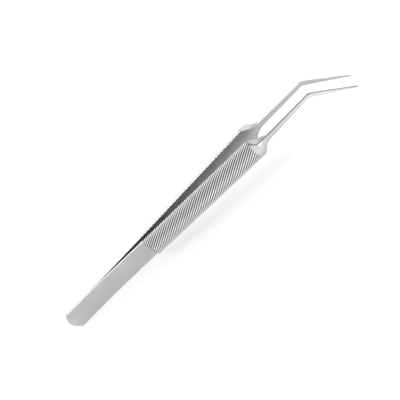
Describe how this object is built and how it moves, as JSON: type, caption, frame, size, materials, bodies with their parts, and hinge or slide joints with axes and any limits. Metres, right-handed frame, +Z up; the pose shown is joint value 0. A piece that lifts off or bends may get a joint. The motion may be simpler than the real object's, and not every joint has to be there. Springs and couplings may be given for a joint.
{
  "type": "capsulorhexis forceps",
  "caption": "Slim sprung forceps for eye surgery, with half-round diamond-knurled grips, angled needle tips, and arms welded face to face at the butt.",
  "frame": {"origin": "centre of the footprint on the surface that the tips and the butt stand on, midway between the arms", "axes": "+X from the butt towards the tips, +Y towards the left arm, +Z up, across the width of the leaves"},
  "size_m": [0.1088, 0.012, 0.0124],
  "materials": {
    "arm_steel": "satin, bead blasted, with bright edges and a diamond knurl on the grips"
  },
  "bodies": {
    "left": {"left_arm": "arm_steel"},
    "right": {"right_arm": "arm_steel"}
  },
  "joints": [
    {"name": "squeeze", "type": "hinge", "parent": "left", "child": "right", "pos_m": [-0.03947, 0, 0.00441], "axis": [-0.0701, 0, 0.9975], "range_deg": [0, 3.15], "stiffness_Nm_per_rad": 0.4}
  ]
}
